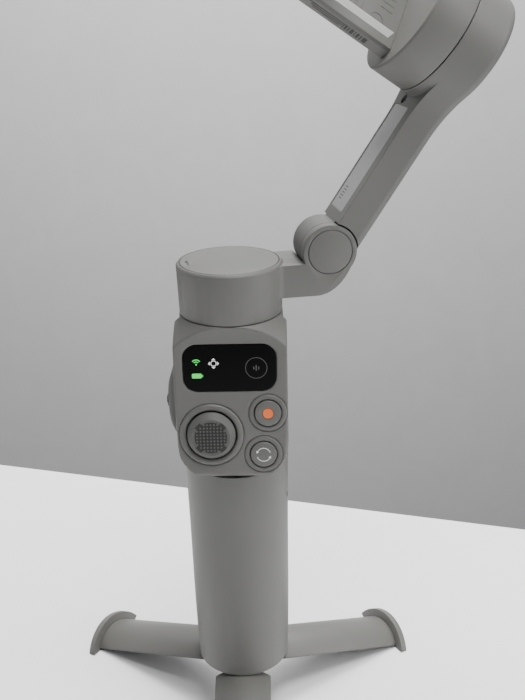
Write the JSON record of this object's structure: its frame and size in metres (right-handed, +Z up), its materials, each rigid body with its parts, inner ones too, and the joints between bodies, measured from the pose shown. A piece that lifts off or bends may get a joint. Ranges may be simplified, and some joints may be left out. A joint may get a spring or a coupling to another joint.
{
  "type": "camera gimbal",
  "caption": "Handheld three-axis phone gimbal on a telescopic handle with fold-out tripod legs, a folding arm and a magnetic clamp.",
  "frame": {"origin": "on the handle's axis at the level the feet stand on", "axes": "+Z up along the handle, the control panel faces -Y, +X to the right of someone facing the panel"},
  "size_m": [0.1746, 0.1316, 0.372],
  "materials": {
    "shell": "fine matte, light warm grey",
    "trim": "matte, mid grey",
    "black_glass": "polished black window",
    "orange": "satin orange",
    "dark_plastic": "matte, near black",
    "board": "solder mask green",
    "cell": "wrapped cell",
    "tube": "moulded tube",
    "steel": "ground steel",
    "core": "laminated core",
    "rod_metal": "anodised tube",
    "brass": "turned",
    "pad_rubber": "soft pad",
    "label": "printed film"
  },
  "bodies": {
    "handle": {"grip_shell": "shell", "pod_shell": "shell", "panel_glass": "black_glass", "joystick_ring": "trim", "joystick_base": "dark_plastic", "button_bezels": "trim", "main_board": "board", "wheel_axle": "steel", "trigger_pin": "steel", "usb_socket": "dark_plastic", "battery_cell": "cell", "battery_tube": "tube", "base_cap": "shell", "thread_insert": "brass", "tripod_carriage": "dark_plastic", "leg_pins": "steel", "rod_sleeve": "rod_metal"},
    "leg_front": {"leg_front": "shell", "foot_front": "shell"},
    "leg_left": {"leg_left": "shell", "foot_left": "shell"},
    "leg_right": {"leg_right": "shell", "foot_right": "shell"},
    "rod_1": {"rod_stage_1": "rod_metal"},
    "rod_2": {"rod_stage_2": "rod_metal"},
    "rod_3": {"rod_stage_3": "rod_metal", "pan_base": "rod_metal", "pan_stator": "core", "pan_bearing": "steel"},
    "pan": {"pan_drum": "shell", "pan_cap": "shell", "pan_magnets": "steel", "hinge_pin": "steel", "hinge_cap": "shell"},
    "arm": {"arm_shell": "shell", "arm_label": "trim", "arm_screw": "steel", "tilt_stator": "core", "tilt_board": "board"},
    "tilt": {"tilt_drum": "shell", "tilt_magnets": "steel", "roll_bar": "shell", "bar_cover": "shell", "bar_label": "label", "roll_stator": "core"},
    "roll": {"roll_rotor": "shell", "roll_magnets": "steel"},
    "clamp": {"clamp_body": "dark_plastic", "clamp_magnets": "steel", "clamp_pad_fixed": "pad_rubber"},
    "jaw": {"clamp_jaw": "dark_plastic", "clamp_pad_moving": "pad_rubber"},
    "joystick_gimbal": {"joystick_yoke": "dark_plastic"},
    "joystick": {"joystick_cap": "trim"},
    "record_key": {"record_button": "trim", "record_dot": "orange"},
    "switch_key": {"switch_button": "trim"},
    "zoom_wheel": {"side_wheel": "dark_plastic"},
    "trigger": {"trigger": "shell"}
  },
  "joints": [
    {"name": "leg_front_fold", "type": "hinge", "parent": "handle", "child": "leg_front", "pos_m": [0, -0.0126, 0.0226], "axis": [1, 0, 0], "range_deg": [0, 73]},
    {"name": "leg_left_fold", "type": "hinge", "parent": "handle", "child": "leg_left", "pos_m": [-0.01091, 0.0063, 0.0226], "axis": [-0.5, -0.866, 0], "range_deg": [0, 73]},
    {"name": "leg_right_fold", "type": "hinge", "parent": "handle", "child": "leg_right", "pos_m": [0.01091, 0.0063, 0.0226], "axis": [-0.5, 0.866, 0], "range_deg": [0, 73]},
    {"name": "rod_1_slide", "type": "slide", "parent": "handle", "child": "rod_1", "axis": [0, 0, 1], "range_m": [0, 0.07]},
    {"name": "rod_2_slide", "type": "slide", "parent": "rod_1", "child": "rod_2", "axis": [0, 0, 1], "range_m": [0, 0.07]},
    {"name": "rod_3_slide", "type": "slide", "parent": "rod_2", "child": "rod_3", "axis": [0, 0, 1], "range_m": [0, 0.07]},
    {"name": "pan", "type": "hinge", "parent": "rod_3", "child": "pan", "pos_m": [0, 0, 0.189], "axis": [0, 0, 1], "range_deg": [-109, 222]},
    {"name": "arm_fold", "type": "hinge", "parent": "pan", "child": "arm", "pos_m": [0.03491, 0.00742, 0.20124], "axis": [0.2079, -0.9781, 0], "range_deg": [0, 120]},
    {"name": "tilt", "type": "hinge", "parent": "arm", "child": "tilt", "pos_m": [0.08092, 0.0172, 0.27059], "axis": [-0.8095, -0.1721, 0.5614], "range_deg": [-225, 68]},
    {"name": "roll", "type": "hinge", "parent": "tilt", "child": "roll", "pos_m": [-0.0009, 0.00132, 0.32587], "axis": [0.4853, -0.7343, 0.4747], "range_deg": [-78, 252]},
    {"name": "clamp_pull_off", "type": "slide", "parent": "roll", "child": "clamp", "axis": [0.4853, -0.7343, 0.4747], "range_m": [0, 0.03]},
    {"name": "jaw_slide", "type": "slide", "parent": "clamp", "child": "jaw", "axis": [-0.8095, -0.1721, 0.5614], "range_m": [0, 0.024], "stiffness_N_per_m": 120, "springref_m": -0.01},
    {"name": "joystick_side", "type": "hinge", "parent": "handle", "child": "joystick_gimbal", "pos_m": [-0.0077, -0.02011, 0.13799], "axis": [0, 0.1219, 0.9925], "range_deg": [-10, 10], "stiffness_Nm_per_rad": 0.03},
    {"name": "joystick_up", "type": "hinge", "parent": "joystick_gimbal", "child": "joystick", "pos_m": [-0.0077, -0.02011, 0.13799], "axis": [1, 0, 0], "range_deg": [-10, 10], "stiffness_Nm_per_rad": 0.03},
    {"name": "record_press", "type": "slide", "parent": "handle", "child": "record_key", "axis": [0, 0.9925, -0.1219], "range_m": [0, 0.0006], "stiffness_N_per_m": 600, "springref_m": -0.0005},
    {"name": "switch_press", "type": "slide", "parent": "handle", "child": "switch_key", "axis": [0, 0.9925, -0.1219], "range_m": [0, 0.0006], "stiffness_N_per_m": 600, "springref_m": -0.0005},
    {"name": "wheel_spin", "type": "hinge", "parent": "handle", "child": "zoom_wheel", "pos_m": [-0.0174, -0.011, 0.1492], "axis": [0, 1, 0], "continuous": true},
    {"name": "trigger_pull", "type": "hinge", "parent": "handle", "child": "trigger", "pos_m": [0, 0.0169, 0.1555], "axis": [-1, 0, 0], "range_deg": [0, 10], "stiffness_Nm_per_rad": 0.2, "springref_deg": -8.59}
  ]
}
